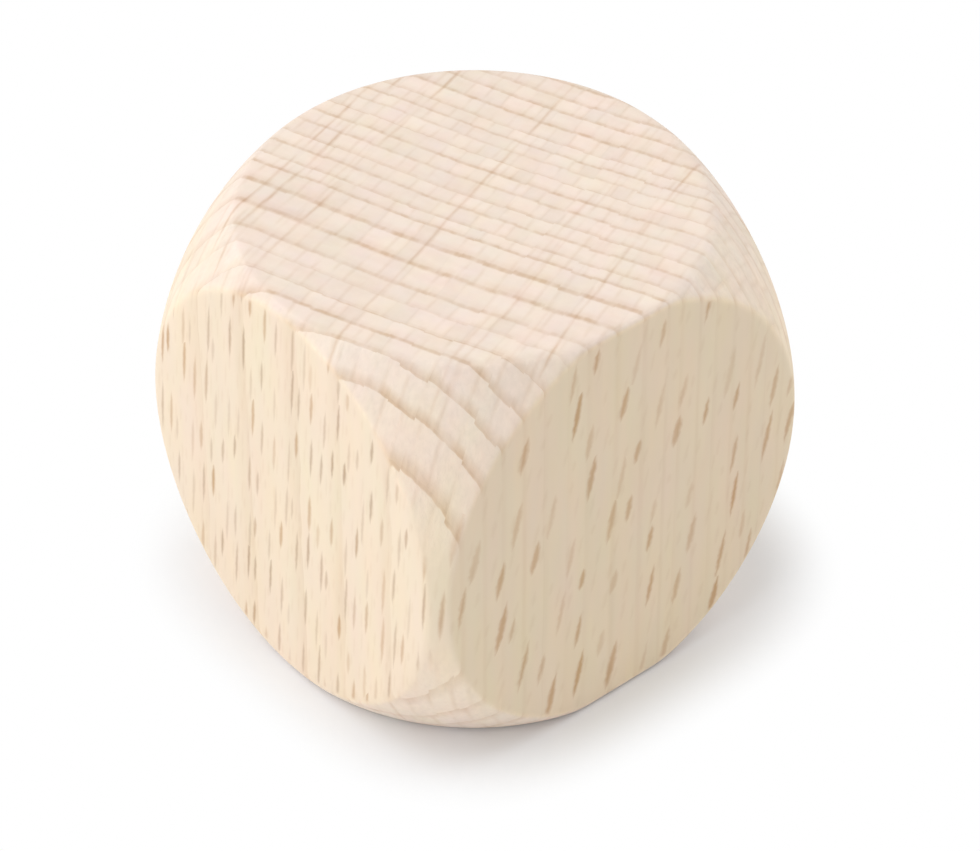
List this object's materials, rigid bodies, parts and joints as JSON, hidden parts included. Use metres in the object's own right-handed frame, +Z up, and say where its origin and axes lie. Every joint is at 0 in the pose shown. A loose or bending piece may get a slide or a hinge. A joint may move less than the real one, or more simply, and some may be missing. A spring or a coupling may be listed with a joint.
{
  "type": "blank wooden die",
  "caption": "Small solid beech cube with its corners turned off, so each face is a round flat; blank, for use as a die, game piece or counter.",
  "frame": {"origin": "centre of the base face, on the surface that the cube rests on", "axes": "+Z up along the grain, X and Y across the planed side faces"},
  "size_m": [0.03, 0.03, 0.03],
  "materials": {
    "beech": "bare planed and turned beech, sanded, no varnish"
  },
  "bodies": {
    "root": {"wooden_cube": "beech"}
  },
  "joints": []
}
